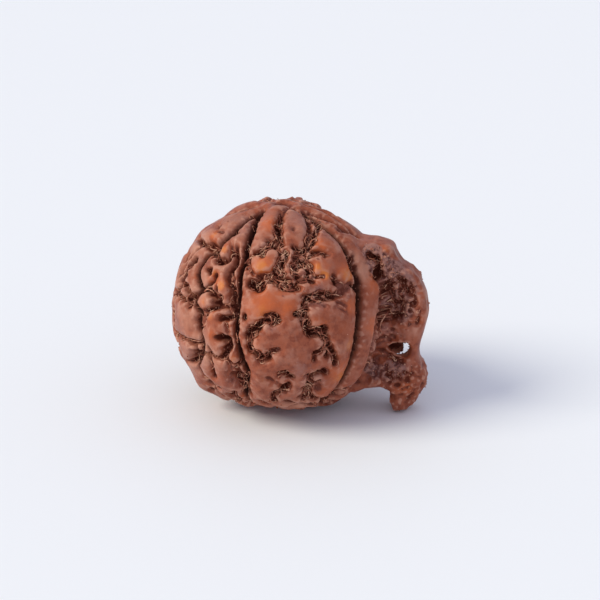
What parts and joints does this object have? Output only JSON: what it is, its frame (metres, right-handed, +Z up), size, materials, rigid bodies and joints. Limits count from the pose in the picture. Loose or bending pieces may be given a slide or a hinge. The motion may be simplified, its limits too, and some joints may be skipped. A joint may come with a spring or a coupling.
{
  "type": "rudraksha seed",
  "caption": "Whole dried rudraksha stone: a round ribbed body cut by deep clefts and winding pits, with a crest along its side that ends in a short trunk.",
  "frame": {"origin": "middle of the seed's bounding box, on the surface that it rests on", "axes": "+Z up through the seed's pole, +X from the body out to the crest and its trunk, -Y towards the broad front face"},
  "size_m": [0.0284, 0.0245, 0.0234],
  "materials": {
    "husk": "dry stone of a fruit, reddish brown, worn to a soft waxy sheen on its ridges and dark and fibrous in its pits"
  },
  "bodies": {
    "root": {"rudraksha_seed": "husk"}
  },
  "joints": []
}
